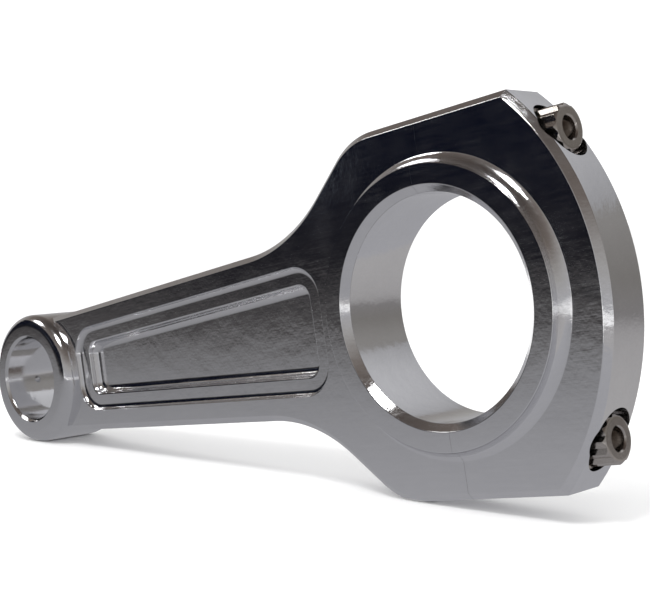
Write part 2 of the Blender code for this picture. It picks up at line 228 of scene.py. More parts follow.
# ---------------------------------------------------------------- rod body
# One piece of forged aluminium plate, milled all over and then polished on a wheel. The raised
# thrust ring and the pin boss are turned, and the pockets are milled with a round-nosed cutter.
CENTRE_DISTANCE = 184.15 * MM
CRANK_RADIUS = 29.53 * MM
PIN_RADIUS = 14.4 * MM
THRUST_HALF = 12.6 * MM
BODY_HALF = 8.4 * MM
RING_RADIUS = CRANK_RADIUS + 7.4 * MM
RING_FILLET = 4.4 * MM
RING_OVERLAP = 4.0 * MM
COVE_RUNOUT = 0.2 * MM
COVE_SINK = 0.6 * MM
BORE_CHAMFER = 2.0 * MM
FLAT_HALF = 49.6 * MM
CROWN_RADIUS = 70.0 * MM
CROWN_TOP = CRANK_RADIUS + 19.8 * MM
OUTLINE_CHAMFER = 1.8 * MM
SHOULDER_REACH = 24.0 * MM
SHOULDER_SLOPE = math.radians(41.0)
SHOULDER_RADIUS = 21.0 * MM
NECK_RADIUS = 48.0 * MM
BEAM_HALF_AT_PIN = 19.35 * MM
BEAM_HALF_AT_CRANK = 27.35 * MM
RAIL = 7.0 * MM
POCKET_LAND = 1.4 * MM
POCKET_RIM = 0.45 * MM
POCKET_BROW = 0.6 * MM
POCKET_RADIUS = 9.0 * MM
POCKET_LEDGE_DEPTH = 2.4 * MM
POCKET_LEDGE = 5.6 * MM
POCKET_FLOOR_DEPTH = 3.2 * MM
POCKET_FILLET = 1.9 * MM
POCKET_FLOOR_FILLET = 2.55 * MM
BOSS_RADIUS = PIN_RADIUS + 7.9 * MM
BOSS_HALF = 13.0 * MM
BOSS_EDGE = 4.0 * MM
BOSS_OVERLAP = 3.0 * MM
PIN_CHAMFER = 0.7 * MM
OIL_HOLE = 1.2 * MM
PARTING_GAP = 0.06 * MM
FIT_GAP = 0.3 * MM
WASHER_THICKNESS = 1.6 * MM
SEAT_HEIGHT = 27.4 * MM
SEAT_CHAMFER = 0.5 * MM
CLAMP_HEIGHT = SEAT_HEIGHT + WASHER_THICKNESS + 2 * FIT_GAP
COUNTERBORE = 7.3 * MM
SCREW_HOLE = 5.06 * MM
SCREW_DEPTH = 24.0 * MM
DRILL_POINT = 0.5
SLEEVE_RADIUS = 5.95 * MM
SLEEVE_HALF = 4.5 * MM
SOFT_EDGE = 0.35 * MM
SOFT_EDGE_BENDS = [(0.15, 0.55), (0.35, 0.45)]
EDGE_STEPS = 3
FILLET_STEPS = 10
CROWN_STEPS = 64
ARC_STEP = math.radians(2.5)
TURNING_STEPS = 144
OVERCUT = 5.0 * MM
STOCK_REACH = 0.4
STOCK_THICKNESS = 0.2
LENGTHWISE = Matrix.Rotation(math.radians(-90.0), 4, "Z")

# The rod's own axes on the bench: the screws' hinges lie on both sides of its centre line.
joints = {joint["name"]: joint for joint in frame["joints"]}
along = Vector(joints["cap_lift"]["axis"]).normalized()
screw_middle = (
    Vector(joints["bolt_upper_turn"]["pos_m"]) + Vector(joints["bolt_lower_turn"]["pos_m"])
) / 2
screw_spread = (
    Vector(joints["bolt_upper_turn"]["pos_m"]) - Vector(joints["bolt_lower_turn"]["pos_m"])
).length
screw_heights = {"upper": screw_spread / 2, "lower": -screw_spread / 2}
crank_centre = screw_middle - along * CLAMP_HEIGHT
lean = math.atan2(along.z, along.x)
on_bench = Matrix.Translation(crank_centre) @ Matrix.Rotation(-lean, 4, "Y")


def arc(centre, radius, start, end, steps):
    """Points along a circular arc, both ends included."""
    turns = [start + (end - start) * i / steps for i in range(steps + 1)]
    return [(centre[0] + radius * math.cos(a), centre[1] + radius * math.sin(a)) for a in turns]


def rounded_outline(corners):
    """A closed outline from corners given as (x, z, radius)."""
    points = [Vector(corner[:2]) for corner in corners]
    outline = []
    for i, (x, z, radius) in enumerate(corners):
        corner = points[i]
        if radius == 0.0:
            outline.append((x, z))
            continue
        back = (points[i - 1] - corner).normalized()
        ahead = (points[(i + 1) % len(points)] - corner).normalized()
        half_angle = back.angle(ahead) / 2
        centre = corner + (back + ahead).normalized() * radius / math.sin(half_angle)
        reach = radius / math.tan(half_angle)
        first = corner + back * reach - centre
        last = corner + ahead * reach - centre
        start = math.atan2(first.y, first.x)
        sweep = math.remainder(math.atan2(last.y, last.x) - start, math.tau)
        steps = max(2, math.ceil(abs(sweep) / ARC_STEP))
        outline += arc(centre, radius, start, start + sweep, steps)
    return outline


def beam_half(x):
    """Half the beam's width across the rails at a place along the rod."""
    return BEAM_HALF_AT_CRANK - (BEAM_HALF_AT_CRANK - BEAM_HALF_AT_PIN) * -x / CENTRE_DISTANCE


def rod_outline():
    """Rod and cap are machined as one, and this is the outline of the whole."""
    taper = (BEAM_HALF_AT_CRANK - BEAM_HALF_AT_PIN) / CENTRE_DISTANCE
    slope = math.tan(SHOULDER_SLOPE)
    neck = (FLAT_HALF + slope * SHOULDER_REACH - BEAM_HALF_AT_CRANK) / (taper - slope)
    upper = [
        (-CENTRE_DISTANCE, beam_half(-CENTRE_DISTANCE), 0.0),
        (neck, beam_half(neck), NECK_RADIUS),
        (-SHOULDER_REACH, FLAT_HALF, SHOULDER_RADIUS),
    ]
    end = math.asin(FLAT_HALF / CROWN_RADIUS)
    crown = arc((CROWN_TOP - CROWN_RADIUS, 0.0), CROWN_RADIUS, end, -end, CROWN_STEPS)
    lower = [(x, -z, radius) for x, z, radius in reversed(upper)]
    return rounded_outline(upper + [(x, z, 0.0) for x, z in crown] + lower)


def object_of(name, shape):
    """Turns a bmesh into an object that is not yet in the scene."""
    bmesh.ops.remove_doubles(shape, verts=shape.verts, dist=1e-7)
    bmesh.ops.recalc_face_normals(shape, faces=shape.faces)
    mesh = bpy.data.meshes.new(name)
    shape.to_mesh(mesh)
    shape.free()
    return bpy.data.objects.new(name, mesh)


def outline_face(shape, outline, y):
    """One flat face across the rod's thickness axis, facing the front."""
    corners = [shape.verts.new((x, y, z)) for x, z in outline]
    face = shape.faces.new(corners)
    face.normal_update()
    if face.normal.y > 0.0:
        face.normal_flip()
    return face


def stepped(shape, face, steps):
    """Raises a face by a list of (inset, rise) steps, which leaves a wall or a slope behind each."""
    for inset, rise in steps:
        if inset == 0.0:
            made = bmesh.ops.extrude_face_region(shape, geom=[face])
            bmesh.ops.delete(shape, geom=[face], context="FACES_ONLY")
            face = [item for item in made["geom"] if isinstance(item, bmesh.types.BMFace)][0]
            corners = list(face.verts)
            bmesh.ops.translate(shape, verts=corners, vec=face.normal * rise)
        else:
            bmesh.ops.inset_region(
                shape, faces=[face], thickness=inset, depth=rise, use_even_offset=True
            )
        face.normal_update()
    return face


def soft_chamfer(size):
    """A 45 degree chamfer with both its edges eased, as (inset, rise) steps."""
    ease = SOFT_EDGE * math.tan(math.radians(22.5)) * 2
    lower_edge = [(ease * inset, ease * rise) for inset, rise in SOFT_EDGE_BENDS]
    upper_edge = [(rise, inset) for inset, rise in reversed(lower_edge)]
    return [*lower_edge, (size - ease, size - ease), *upper_edge]


def plate(name, outline, half, chamfer):
    """The flat body of the rod: half of it is raised from the middle plane, then mirrored."""
    shape = bmesh.new()
    face = outline_face(shape, outline, 0.0)
    stepped(shape, face, [(0.0, half - chamfer), *soft_chamfer(chamfer)])
    bmesh.ops.mirror(shape, geom=shape.verts[:] + shape.edges[:] + shape.faces[:], axis="Y")
    return object_of(name, shape)


def turned(name, profile, centre, closed):
    """A piece turned about the rod's thickness axis. Its profile is (radius, y) pairs."""
    shape = bmesh.new()
    ring = [shape.verts.new((radius, y, 0.0)) for radius, y in profile]
    pairs = list(zip(ring, ring[1:] + ring[:1] if closed else ring[1:]))
    edges = [shape.edges.new(pair) for pair in pairs]
    bmesh.ops.spin(
        shape,
        geom=ring + edges,
        cent=(0.0, 0.0, 0.0),
        axis=(0.0, 1.0, 0.0),
        angle=math.tau,
        steps=TURNING_STEPS,
        use_merge=True,
    )
    bmesh.ops.translate(shape, verts=shape.verts, vec=(centre, 0.0, 0.0))
    return object_of(name, shape)


def both_sides(half_profile):
    """A turned profile together with its mirror image behind the middle plane."""
    return half_profile + [(radius, -y) for radius, y in reversed(half_profile)]


def machined(name, blank, jobs, broken_edge=0.0):
    """Takes a blank through a list of (tool, operation) cuts and welds, then breaks its edges."""
    bpy.context.scene.collection.objects.link(blank)
    for tool, operation in jobs:
        bpy.context.scene.collection.objects.link(tool)
        cut = blank.modifiers.new(tool.name, "BOOLEAN")
        cut.operation = operation
        cut.solver = "EXACT"
        cut.object = tool
    if broken_edge:
        breaking = blank.modifiers.new("Broken edges", "BEVEL")
        breaking.width = broken_edge
        breaking.segments = 2
        breaking.limit_method = "ANGLE"
        breaking.angle_limit = math.radians(25.0)
    graph = bpy.context.evaluated_depsgraph_get()
    mesh = bpy.data.meshes.new_from_object(blank.evaluated_get(graph))
    for spent in [blank, *[tool for tool, _ in jobs]]:
        bpy.data.objects.remove(spent)
    mesh.name = name
    return mesh


def thrust_ring():
    """The raised ring round the crank bore: turned face, eased edges and a cove down to the body."""
    chamfer_angle = math.radians(45.0)
    ease = SOFT_EDGE
    cove_centre = (RING_RADIUS + RING_FILLET, THRUST_HALF)
    foot = (RING_RADIUS + RING_FILLET + COVE_RUNOUT, BODY_HALF - COVE_SINK)
    cove = arc(cove_centre, RING_FILLET, math.radians(183.0), math.radians(270.0), FILLET_STEPS)
    rim = arc((RING_RADIUS - ease, THRUST_HALF - ease), ease, math.radians(90), 0.0, EDGE_STEPS)
    mouth = CRANK_RADIUS + BORE_CHAMFER
    wall = THRUST_HALF - BORE_CHAMFER
    mouth_edge = arc(
        (mouth + ease * math.tan(chamfer_angle / 2), THRUST_HALF - ease),
        ease,
        math.radians(135.0),
        math.radians(90.0),
        EDGE_STEPS,
    )
    throat_edge = arc(
        (CRANK_RADIUS + ease, wall - ease * math.tan(chamfer_angle / 2)),
        ease,
        math.radians(180.0),
        math.radians(135.0),
        EDGE_STEPS,
    )
    half = [*throat_edge, *mouth_edge, *rim, *cove, foot]
    return turned("thrust_ring", both_sides(half), 0.0, True)


def pin_boss():
    """The small end's boss, with broad rounded edges outside and a small chamfer in the bore."""
    middle = (BOSS_RADIUS - BOSS_EDGE, BOSS_HALF - BOSS_EDGE)
    edge = arc(middle, BOSS_EDGE, math.radians(90.0), 0.0, FILLET_STEPS)
    run = 0.15 * MM
    ease = 0.08 * MM
    half = [
        (PIN_RADIUS, BOSS_HALF - PIN_CHAMFER - run),
        (PIN_RADIUS + ease, BOSS_HALF - PIN_CHAMFER),
        (PIN_RADIUS + PIN_CHAMFER, BOSS_HALF - ease),
        (PIN_RADIUS + PIN_CHAMFER + run, BOSS_HALF),
        *edge,
    ]
    return turned("pin_boss", both_sides(half), -CENTRE_DISTANCE, True)


def plug(name, radius, centre):
    """A plain round cutter right through the rod's thickness."""
    reach = BOSS_HALF + OVERCUT
    profile = [(0.0, reach), (radius, reach), (radius, -reach), (0.0, -reach)]
    return turned(name, profile, centre, False)


def pocket(side):
    """The cutter for one pocket: an eased rim, a ledge, a rounded step and a rounded floor."""
    low = -CENTRE_DISTANCE + BOSS_RADIUS + POCKET_LAND
    high = -(RING_RADIUS + RING_FILLET + POCKET_LAND)
    rim = POCKET_RIM
    low_half = beam_half(low) - RAIL + rim
    high_half = beam_half(high) - RAIL + rim
    radius = POCKET_RADIUS + rim
    corners = [
        (low - rim, low_half, radius),
        (high + rim, high_half, radius),
        (high + rim, -high_half, radius),
        (low - rim, -low_half, radius),
    ]
    fillet = POCKET_FILLET
    bend = [math.radians(90.0 * i / FILLET_STEPS) for i in range(FILLET_STEPS + 1)]
    round_foot = [
        (math.cos(a) - math.cos(b), math.sin(b) - math.sin(a)) for a, b in zip(bend, bend[1:])
    ]
    brow = POCKET_BROW
    round_brow = [
        (brow * (math.sin(b) - math.sin(a)), brow * (math.cos(a) - math.cos(b)))
        for a, b in zip(bend, bend[1:])
    ]
    ledge_flat = POCKET_LEDGE - fillet - brow
    steps = [
        (2 * rim, 2 * rim),
        (0.0, POCKET_LEDGE_DEPTH - rim - fillet),
        *[(fillet * inset, fillet * fall) for inset, fall in round_foot],
        (ledge_flat, 0.0),
        *round_brow,
        (0.0, POCKET_FLOOR_DEPTH - brow - POCKET_FLOOR_FILLET),
        *[(POCKET_FLOOR_FILLET * inset, POCKET_FLOOR_FILLET * fall) for inset, fall in round_foot],
    ]
    shape = bmesh.new()
    face = outline_face(shape, rounded_outline(corners), BODY_HALF + rim)
    stepped(shape, face, steps)
    bmesh.ops.holes_fill(shape, edges=[edge for edge in shape.edges if edge.is_boundary])
    if side == "front":
        bmesh.ops.scale(shape, verts=shape.verts, vec=(1.0, -1.0, 1.0))
    return object_of(f"pocket_{side}", shape)


def screw_tool(height):
    """One stepped cutter for a screw: counterbore, hole, and the recess for its hollow dowel."""
    top = CROWN_TOP + OVERCUT
    recess = SLEEVE_RADIUS + FIT_GAP
    recess_half = SLEEVE_HALF + FIT_GAP
    profile = [
        (0.0, top),
        (COUNTERBORE, top),
        (COUNTERBORE, SEAT_HEIGHT + SEAT_CHAMFER),
        (COUNTERBORE - SEAT_CHAMFER, SEAT_HEIGHT),
        (SCREW_HOLE, SEAT_HEIGHT),
        (SCREW_HOLE, recess_half),
        (recess, recess_half),
        (recess, -recess_half),
        (SCREW_HOLE, -recess_half),
        (SCREW_HOLE, -SCREW_DEPTH),
        (0.0, -SCREW_DEPTH - SCREW_HOLE * DRILL_POINT),
    ]
    tool = turned("screw_tool", profile, 0.0, False)
    tool.data.transform(Matrix.Translation((0.0, 0.0, height)) @ LENGTHWISE)
    return tool


def drill(name, radius, start, end):
    """A round cutter along the rod's own length."""
    tool = turned(name, [(0.0, start), (radius, start), (radius, end), (0.0, end)], 0.0, False)
    tool.data.transform(LENGTHWISE)
    return tool


def half_block(name, low, high):
    """A block that takes away everything between two planes across the rod's length."""
    shape = bmesh.new()
    bmesh.ops.create_cube(shape, size=1.0)
    bmesh.ops.scale(shape, verts=shape.verts, vec=(high - low, STOCK_THICKNESS, STOCK_THICKNESS))
    bmesh.ops.translate(shape, verts=shape.verts, vec=((low + high) / 2, 0.0, 0.0))
    return object_of(name, shape)


FACED, HONED, POCKETED, TURNED, CROWNED, DRILLED = range(6)


def finish_of(face):
    """Which of the machined finishes a face of the rod has, from where it lies."""
    points = [corner.co for corner in face.verts]
    crank_reach = [math.hypot(p.x, p.z) for p in points]
    pin_reach = [math.hypot(p.x + CENTRE_DISTANCE, p.z) for p in points]
    crown_reach = [math.hypot(p.x - CROWN_TOP + CROWN_RADIUS, p.z) for p in points]
    screw_reach = [math.hypot(abs(p.z) - screw_spread / 2, p.y) for p in points]
    slack = 0.05 * MM
    if max(crank_reach) < CRANK_RADIUS + slack or max(pin_reach) < PIN_RADIUS + slack:
        return HONED
    if max(screw_reach) < COUNTERBORE + slack:
        return DRILLED
    if max(crank_reach) < RING_RADIUS + RING_FILLET + 2 * slack:
        return TURNED
    if max(pin_reach) < BOSS_RADIUS + slack:
        return TURNED
    depth = max(abs(p.y) for p in points)
    width = max(abs(p.z) for p in points)
    nearest = max(p.x for p in points)
    rail_foot = beam_half(nearest) - RAIL + POCKET_RIM + 5 * slack
    if depth < BODY_HALF + slack and nearest < -RING_RADIUS - RING_FILLET and width < rail_foot:
        return POCKETED
    if face.normal.x > 0.5 and min(crown_reach) > CROWN_RADIUS - OUTLINE_CHAMFER - slack:
        return CROWNED
    return FACED


def finished(name, mesh, body, node, materials, crease=24.0, by_place=False):
    """Moves a machined mesh from the rod's own axes to the bench and makes it the node's stand-in."""
    shape = bmesh.new()
    shape.from_mesh(mesh)
    bmesh.ops.remove_doubles(shape, verts=shape.verts, dist=2e-7)
    for face in shape.faces:
        face.material_index = finish_of(face) if by_place else FACED
    bmesh.ops.transform(shape, matrix=on_bench, verts=shape.verts)
    shape.to_mesh(mesh)
    shape.free()
    mesh.shade_smooth()
    mesh.set_sharp_from_angle(angle=math.radians(crease))
    mesh.materials.clear()
    for material in materials:
        mesh.materials.append(material)
    piece = bpy.data.objects.new(name, mesh)
    bpy.context.scene.collection.objects.link(piece)
    even = piece.modifiers.new("Even shading", "WEIGHTED_NORMAL")
    even.keep_sharp = True
    even.weight = 60
    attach(piece, body)
    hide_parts(node)


def new_group(name, sockets):
    """A node group with (name, kind, value) inputs and one grey output called Mask."""
    tree = bpy.data.node_groups.new(name, "ShaderNodeTree")
    for label, kind, value in sockets:
        socket = tree.interface.new_socket(label, in_out="INPUT", socket_type=kind)
        socket.default_value = value
    tree.interface.new_socket("Mask", in_out="OUTPUT", socket_type="NodeSocketFloat")
    return tree, tree.nodes.new("NodeGroupInput"), tree.nodes.new("NodeGroupOutput")


def rod_place(tree):
    """Object coordinates turned into the rod's own axes, in millimetres."""
    place = tree.nodes.new("ShaderNodeTexCoord")
    level = tree.nodes.new("ShaderNodeMapping")
    level.vector_type = "TEXTURE"
    level.inputs["Location"].default_value = crank_centre
    level.inputs["Rotation"].default_value = (0.0, -lean, 0.0)
    level.inputs["Scale"].default_value = (MM, MM, MM)
    tree.links.new(place.outputs["Object"], level.inputs["Vector"])
    return level.outputs["Vector"]


def vector_math(tree, operation, first, second):
    """A vector operation on a socket and either another socket or a fixed vector."""
    node = tree.nodes.new("ShaderNodeVectorMath")
    node.operation = operation
    tree.links.new(first, node.inputs[0])
    if isinstance(second, bpy.types.NodeSocket):
        tree.links.new(second, node.inputs[1])
    else:
        node.inputs[1].default_value = second
    return node


def noise(tree, vector, detail):
    """Grey noise about one unit across, read at a place."""
    node = tree.nodes.new("ShaderNodeTexNoise")
    node.inputs["Scale"].default_value = 1.0
    node.inputs["Detail"].default_value = detail
    node.inputs["Roughness"].default_value = 0.62
    tree.links.new(vector, node.inputs["Vector"])
    return node.outputs["Fac"]


# Straight cutter or belt marks: noise drawn out along one of the rod's axes.
grain, grain_in, grain_out = new_group("straight_marks", [("Fineness", "NodeSocketVector", (1, 1, 1))])
stretched = vector_math(grain, "MULTIPLY", rod_place(grain), grain_in.outputs["Fineness"])
grain.links.new(noise(grain, stretched.outputs["Vector"], 4.0), grain_out.inputs["Mask"])

# Lathe and hone marks: noise that only changes with the radius from one bore and the depth along it.
lathe, lathe_in, lathe_out = new_group(
    "turning_marks",
    [("Centre", "NodeSocketVector", (0, 0, 0)), ("Fineness", "NodeSocketFloat", 6.0)],
)
offset = vector_math(lathe, "SUBTRACT", rod_place(lathe), lathe_in.outputs["Centre"])
flat = vector_math(lathe, "MULTIPLY", offset.outputs["Vector"], (1.0, 0.0, 1.0))
reach = vector_math(lathe, "LENGTH", flat.outputs["Vector"], (0.0, 0.0, 0.0))
split = lathe.nodes.new("ShaderNodeSeparateXYZ")
lathe.links.new(offset.outputs["Vector"], split.inputs["Vector"])
swept = lathe.nodes.new("ShaderNodeCombineXYZ")
lathe.links.new(reach.outputs["Value"], swept.inputs["X"])
lathe.links.new(split.outputs["Y"], swept.inputs["Y"])
finer = lathe.nodes.new("ShaderNodeVectorMath")
finer.operation = "SCALE"
lathe.links.new(swept.outputs["Vector"], finer.inputs[0])
lathe.links.new(lathe_in.outputs["Fineness"], finer.inputs["Scale"])
lathe.links.new(noise(lathe, finer.outputs["Vector"], 3.0), lathe_out.inputs["Mask"])

# Wiping marks and a faint haze of oil: slow clouds, the same in every direction.
haze, haze_in, haze_out = new_group("handling_haze", [("Size", "NodeSocketFloat", 0.12)])
drifted = haze.nodes.new("ShaderNodeVectorMath")
drifted.operation = "SCALE"
haze.links.new(rod_place(haze), drifted.inputs[0])
haze.links.new(haze_in.outputs["Size"], drifted.inputs["Scale"])
haze.links.new(noise(haze, drifted.outputs["Vector"], 5.0), haze_out.inputs["Mask"])


NOISE_LOW = 0.32
NOISE_HIGH = 0.68
POLISHING_WAVES = 0.045


def metal(name, colour, dull, rough, marks, depth, sway=0.0):
    """A worked metal. Marks is (group, socket values); they change its gloss and ruffle its surface.

    Sway is the depth of the slow waves that hand polishing leaves.
    """
    made = bpy.data.materials.new(name)
    made.use_nodes = True
    tree = made.node_tree
    shader = tree.nodes["Principled BSDF"]
    shader.inputs["Metallic"].default_value = 1.0
    lines = tree.nodes.new("ShaderNodeGroup")
    lines.node_tree = marks[0]
    for label, value in marks[1].items():
        lines.inputs[label].default_value = value
    clouds = tree.nodes.new("ShaderNodeGroup")
    clouds.node_tree = haze
    both = tree.nodes.new("ShaderNodeMix")
    both.inputs["Factor"].default_value = 0.5
    tree.links.new(lines.outputs["Mask"], both.inputs["A"])
    tree.links.new(clouds.outputs["Mask"], both.inputs["B"])
    gloss = tree.nodes.new("ShaderNodeMapRange")
    gloss.inputs["From Min"].default_value = NOISE_LOW
    gloss.inputs["From Max"].default_value = NOISE_HIGH
    gloss.inputs["To Min"].default_value = rough[0]
    gloss.inputs["To Max"].default_value = rough[1]
    tree.links.new(both.outputs["Result"], gloss.inputs["Value"])
    tree.links.new(gloss.outputs["Result"], shader.inputs["Roughness"])
    tint = tree.nodes.new("ShaderNodeMix")
    tint.data_type = "RGBA"
    tint.inputs["A"].default_value = (*dull, 1.0)
    tint.inputs["B"].default_value = (*colour, 1.0)
    tree.links.new(both.outputs["Result"], tint.inputs["Factor"])
    tree.links.new(tint.outputs["Result"], shader.inputs["Base Color"])
    ruffle = tree.nodes.new("ShaderNodeBump")
    ruffle.inputs["Strength"].default_value = 1.0
    ruffle.inputs["Distance"].default_value = depth
    tree.links.new(lines.outputs["Mask"], ruffle.inputs["Height"])
    tree.links.new(ruffle.outputs["Normal"], shader.inputs["Normal"])
    if sway:
        swell = tree.nodes.new("ShaderNodeGroup")
        swell.node_tree = haze
        swell.inputs["Size"].default_value = POLISHING_WAVES
        waves = tree.nodes.new("ShaderNodeBump")
        waves.inputs["Strength"].default_value = 1.0
        waves.inputs["Distance"].default_value = sway
        tree.links.new(swell.outputs["Mask"], waves.inputs["Height"])
        tree.links.new(waves.outputs["Normal"], ruffle.inputs["Normal"])
    return made


BRIGHT = (0.86, 0.86, 0.87)
SMOKY = (0.74, 0.74, 0.76)
TURNED_PITCH = 2.6
faced = metal(
    "polished_face",
    BRIGHT,
    SMOKY,
    (0.05, 0.18),
    (grain, {"Fineness": (0.10, 1.0, 1.6)}),
    1.0e-5,
    2.0e-4,
)
honed = metal(
    "honed_bore", BRIGHT, SMOKY, (0.42, 0.62), (lathe, {"Fineness": TURNED_PITCH * 2}), 1.2e-5
)
pocketed = metal(
    "milled_pocket",
    (0.80, 0.79, 0.77),
    (0.66, 0.65, 0.63),
    (0.14, 0.42),
    (grain, {"Fineness": (0.05, 0.9, 0.55)}),
    7.0e-5,
    2.5e-4,
)
turned_face = metal(
    "turned_ring", BRIGHT, SMOKY, (0.06, 0.20), (lathe, {"Fineness": TURNED_PITCH}), 0.7e-5, 1.0e-4
)
crowned = metal(
    "milled_crown",
    BRIGHT,
    SMOKY,
    (0.10, 0.26),
    (grain, {"Fineness": (0.9, 0.05, 0.9)}),
    1.6e-5,
    1.5e-4,
)
drilled = metal(
    "bored_seat",
    (0.66, 0.66, 0.67),
    (0.40, 0.40, 0.41),
    (0.18, 0.34),
    (grain, {"Fineness": (3.0, 3.0, 3.0)}),
    1.0e-5,
)
aluminium = [faced, honed, pocketed, turned_face, crowned, drilled]

outline = rod_outline()
oil_hole_start = -CENTRE_DISTANCE - BOSS_RADIUS - OVERCUT
oil_hole_end = -CENTRE_DISTANCE - PIN_RADIUS / 2
rod_mesh = machined(
    "rod_body_polished",
    plate("rod_blank", outline, BODY_HALF, OUTLINE_CHAMFER),
    [
        (plug("crank_plug", CRANK_RADIUS + RING_OVERLAP, 0.0), "DIFFERENCE"),
        (plug("pin_plug", PIN_RADIUS + BOSS_OVERLAP, -CENTRE_DISTANCE), "DIFFERENCE"),
        (thrust_ring(), "UNION"),
        (pin_boss(), "UNION"),
        (pocket("front"), "DIFFERENCE"),
        (pocket("back"), "DIFFERENCE"),
        *[(screw_tool(height), "DIFFERENCE") for height in screw_heights.values()],
        (drill("oil_drill", OIL_HOLE, oil_hole_start, oil_hole_end), "DIFFERENCE"),
        (half_block("cap_side", -PARTING_GAP / 2, STOCK_REACH), "DIFFERENCE"),
    ],
)
finished(
    "rod_body_polished", rod_mesh, "rod", "rod_body", aluminium, by_place=True
)


# ---------------------------------------------------------------- cap
# The other half of the big end, machined together with the rod and then parted from it. A pin
# pressed into its bore keeps the bearing shell from turning.
SHELL_PIN_HOLE = 2.05 * MM
SHELL_PIN_HOLE_END = 37.3 * MM
cap_mesh = machined(
    "cap_polished",
    plate("cap_blank", outline, BODY_HALF, OUTLINE_CHAMFER),
    [
        (plug("crank_plug", CRANK_RADIUS + RING_OVERLAP, 0.0), "DIFFERENCE"),
        (thrust_ring(), "UNION"),
        *[(screw_tool(height), "DIFFERENCE") for height in screw_heights.values()],
        (
            drill("dowel_drill", SHELL_PIN_HOLE, CRANK_RADIUS - OVERCUT, SHELL_PIN_HOLE_END),
            "DIFFERENCE",
        ),
        (half_block("rod_side", -STOCK_REACH, PARTING_GAP / 2), "DIFFERENCE"),
    ],
)
finished("cap_polished", cap_mesh, "cap", "cap", aluminium, by_place=True)


# ---------------------------------------------------------------- cap screws
# Twelve-point screws forged from alloy steel, black-oxided and then polished on the head. The
# thread is rolled, and the hollow in the head is drilled to save weight.
SCREW_RADIUS = 4.76 * MM
SCREW_PITCH = 1.0583 * MM
SHANK_RADIUS = 4.25 * MM
FLANGE_RADIUS = 6.8 * MM
FLANGE_TOP = CLAMP_HEIGHT + 2.4 * MM
HEAD_TOP = CLAMP_HEIGHT + 11.2 * MM
HEAD_RADIUS = 6.15 * MM
HEAD_SHOULDER = 1.5 * MM
HEAD_SHOULDER_INSET = 1.3 * MM
HEAD_TIP_HALF_ANGLE = 1.6
HEAD_HOLLOW = 2.9 * MM
HEAD_HOLLOW_DEPTH = 5.0 * MM
HOLLOW_CHAMFER = 0.4 * MM
HOLLOW_POINT = 1.2 * MM
HEAD_BROKEN_EDGE = 0.14 * MM
THREAD_POINT = 0.8 * MM
SCREW_END = -22.4 * MM
THREAD_TOP = -5.6 * MM
THREAD_STEPS = 36


def spun(name, profile, closed):
    """A piece turned about the rod's own length. Its profile is (x, radius) pairs."""
    piece = turned(name, [(radius, x) for x, radius in profile], 0.0, closed)
    piece.data.transform(LENGTHWISE)
    return piece


def twelve_points():
    """The screw head's wrenching outline: two hexagons in one, with blunt tips."""
    corners = []
    root = HEAD_RADIUS * math.cos(math.radians(30.0)) / math.cos(math.radians(15.0))
    blunt_tip = [(-HEAD_TIP_HALF_ANGLE, HEAD_RADIUS), (HEAD_TIP_HALF_ANGLE, HEAD_RADIUS)]
    for tip in range(12):
        for turn, radius in [*blunt_tip, (15.0, root)]:
            angle = math.radians(30.0 * tip + turn)
            corners.append((radius * math.cos(angle), radius * math.sin(angle)))
    return corners


def screw_head():
    """The head's points, turned to a rounded shoulder and hollowed from the end."""
    shape = bmesh.new()
    corners = [shape.verts.new((FLANGE_TOP - MM, y, z)) for y, z in twelve_points()]
    base = shape.faces.new(corners)
    raised = bmesh.ops.extrude_face_region(shape, geom=[base])
    top = [item for item in raised["geom"] if isinstance(item, bmesh.types.BMVert)]
    bmesh.ops.translate(shape, verts=top, vec=(HEAD_TOP - FLANGE_TOP + MM, 0.0, 0.0))
    blank = object_of("head_blank", shape)
    shoulder_centre = (HEAD_TOP - HEAD_SHOULDER, HEAD_RADIUS - HEAD_SHOULDER_INSET)
    shoulder = arc(shoulder_centre, HEAD_SHOULDER, math.radians(90.0), 0.0, 6)
    low = FLANGE_TOP - 2 * MM
    shoulder_start = HEAD_TOP - 2.2 * MM
    wide = 8.0 * MM
    bullet = spun(
        "bullet",
        [(low, 0.0), (low, wide), (shoulder_start, wide), *shoulder, (HEAD_TOP, 0.0)],
        False,
    )
    floor_depth = HEAD_TOP - HEAD_HOLLOW_DEPTH
    mouth = HEAD_HOLLOW + HOLLOW_CHAMFER + MM
    hollow = spun(
        "hollow",
        [
            (HEAD_TOP + MM, 0.0),
            (HEAD_TOP + MM, mouth),
            (HEAD_TOP - HOLLOW_CHAMFER, HEAD_HOLLOW),
            (floor_depth, HEAD_HOLLOW),
            (floor_depth - HOLLOW_POINT, 0.0),
        ],
        False,
    )
    cuts = [(bullet, "INTERSECT"), (hollow, "DIFFERENCE")]
    return machined("head", blank, cuts, HEAD_BROKEN_EDGE)


